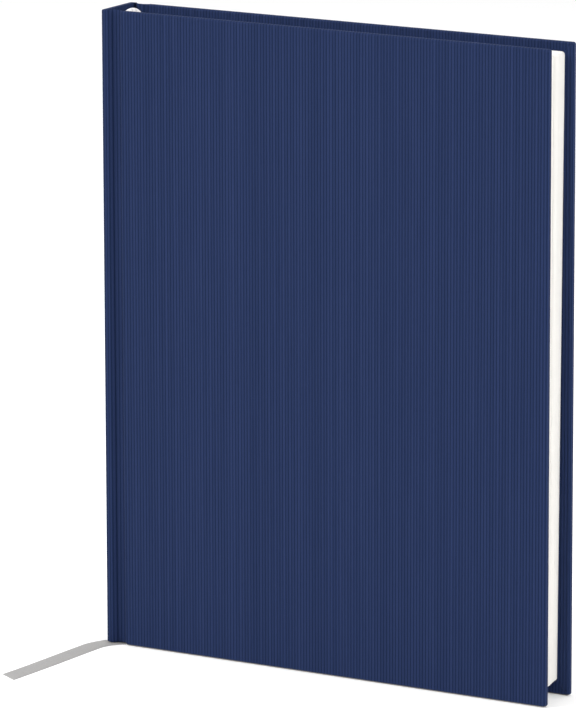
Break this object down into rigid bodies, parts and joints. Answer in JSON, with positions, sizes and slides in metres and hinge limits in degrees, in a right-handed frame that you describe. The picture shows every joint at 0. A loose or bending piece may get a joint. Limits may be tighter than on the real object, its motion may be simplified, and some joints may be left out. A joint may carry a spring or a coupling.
{
  "type": "pilot logbook",
  "caption": "Case-bound logbook with ribbed dark blue covers, square hollow back, sewn page block, headbands and a grey ribbon marker.",
  "frame": {"origin": "middle of the book's foot, on the surface it stands on", "axes": "+Z from tail to head, +X from the spine to the fore-edge, +Y from the front cover to the back cover"},
  "size_m": [0.1949, 0.0812, 0.24],
  "materials": {
    "cover_cloth": "fine vertical rib, matt",
    "board": "grey board",
    "endpaper": "smooth",
    "pages": "uncoated",
    "mull": "open weave",
    "lining": "kraft",
    "thread": "waxed thread",
    "headband": "woven",
    "ribbon": "satin"
  },
  "bodies": {
    "spine_and_folds": {"spine_board": "board", "spine_cloth": "cover_cloth", "front_joint_cloth": "cover_cloth", "back_joint_cloth": "cover_cloth", "section_folds": "pages", "mull": "mull", "spine_lining": "lining", "sewing_thread": "thread", "head_headband": "headband", "tail_headband": "headband", "ribbon_marker": "ribbon", "ribbon_tail": "ribbon"},
    "front_cover": {"front_board": "board", "front_cover_cloth": "cover_cloth", "front_pastedown": "endpaper", "front_mull_flange": "mull"},
    "back_cover": {"back_board": "board", "back_cover_cloth": "cover_cloth", "back_pastedown": "endpaper", "back_mull_flange": "mull"},
    "front_flyleaf_body": {"front_flyleaf": "endpaper"},
    "back_flyleaf_body": {"back_flyleaf": "endpaper"},
    "section_1_leaves": {"section_1": "pages"},
    "section_2_leaves": {"section_2": "pages"},
    "section_3_leaves": {"section_3": "pages"},
    "section_4_leaves": {"section_4": "pages"},
    "section_5_leaves": {"section_5": "pages"},
    "section_6_leaves": {"section_6": "pages"},
    "section_7_leaves": {"section_7": "pages"},
    "section_8_leaves": {"section_8": "pages"}
  },
  "joints": [
    {"name": "front_cover_hinge", "type": "hinge", "parent": "spine_and_folds", "child": "front_cover", "pos_m": [-0.08737, -0.01064, 0.12], "axis": [0, 0, -1], "range_deg": [0, 180], "deforming": ["front_joint_cloth", "ribbon_tail"]},
    {"name": "back_cover_hinge", "type": "hinge", "parent": "spine_and_folds", "child": "back_cover", "pos_m": [-0.08737, 0.01064, 0.12], "axis": [0, 0, 1], "range_deg": [0, 180], "deforming": ["back_joint_cloth"]},
    {"name": "front_flyleaf_turn", "type": "hinge", "parent": "spine_and_folds", "child": "front_flyleaf_body", "pos_m": [-0.0813, -0.00768, 0.12], "axis": [0, 0, -1], "range_deg": [0, 135]},
    {"name": "section_1_turn", "type": "hinge", "parent": "spine_and_folds", "child": "section_1_leaves", "pos_m": [-0.0813, -0.00768, 0.12], "axis": [0, 0, -1], "range_deg": [0, 115.2]},
    {"name": "section_2_turn", "type": "hinge", "parent": "spine_and_folds", "child": "section_2_leaves", "pos_m": [-0.0813, -0.00768, 0.12], "axis": [0, 0, -1], "range_deg": [0, 86.4]},
    {"name": "section_3_turn", "type": "hinge", "parent": "spine_and_folds", "child": "section_3_leaves", "pos_m": [-0.0813, -0.00768, 0.12], "axis": [0, 0, -1], "range_deg": [0, 57.6]},
    {"name": "section_4_turn", "type": "hinge", "parent": "spine_and_folds", "child": "section_4_leaves", "pos_m": [-0.0813, -0.00768, 0.12], "axis": [0, 0, -1], "range_deg": [0, 28.8]},
    {"name": "back_flyleaf_turn", "type": "hinge", "parent": "spine_and_folds", "child": "back_flyleaf_body", "pos_m": [-0.0813, 0.00768, 0.12], "axis": [0, 0, 1], "range_deg": [0, 135]},
    {"name": "section_8_turn", "type": "hinge", "parent": "spine_and_folds", "child": "section_8_leaves", "pos_m": [-0.0813, 0.00768, 0.12], "axis": [0, 0, 1], "range_deg": [0, 115.2]},
    {"name": "section_7_turn", "type": "hinge", "parent": "spine_and_folds", "child": "section_7_leaves", "pos_m": [-0.0813, 0.00768, 0.12], "axis": [0, 0, 1], "range_deg": [0, 86.4]},
    {"name": "section_6_turn", "type": "hinge", "parent": "spine_and_folds", "child": "section_6_leaves", "pos_m": [-0.0813, 0.00768, 0.12], "axis": [0, 0, 1], "range_deg": [0, 57.6]},
    {"name": "section_5_turn", "type": "hinge", "parent": "spine_and_folds", "child": "section_5_leaves", "pos_m": [-0.0813, 0.00768, 0.12], "axis": [0, 0, 1], "range_deg": [0, 28.8]}
  ],
  "couplings": [
    {"joint": "front_flyleaf_turn", "follows": "front_cover_hinge", "ratio": 0.75},
    {"joint": "section_1_turn", "follows": "front_cover_hinge", "ratio": 0.64},
    {"joint": "section_2_turn", "follows": "front_cover_hinge", "ratio": 0.48},
    {"joint": "section_3_turn", "follows": "front_cover_hinge", "ratio": 0.32},
    {"joint": "section_4_turn", "follows": "front_cover_hinge", "ratio": 0.16},
    {"joint": "back_flyleaf_turn", "follows": "back_cover_hinge", "ratio": 0.75},
    {"joint": "section_8_turn", "follows": "back_cover_hinge", "ratio": 0.64},
    {"joint": "section_7_turn", "follows": "back_cover_hinge", "ratio": 0.48},
    {"joint": "section_6_turn", "follows": "back_cover_hinge", "ratio": 0.32},
    {"joint": "section_5_turn", "follows": "back_cover_hinge", "ratio": 0.16}
  ]
}
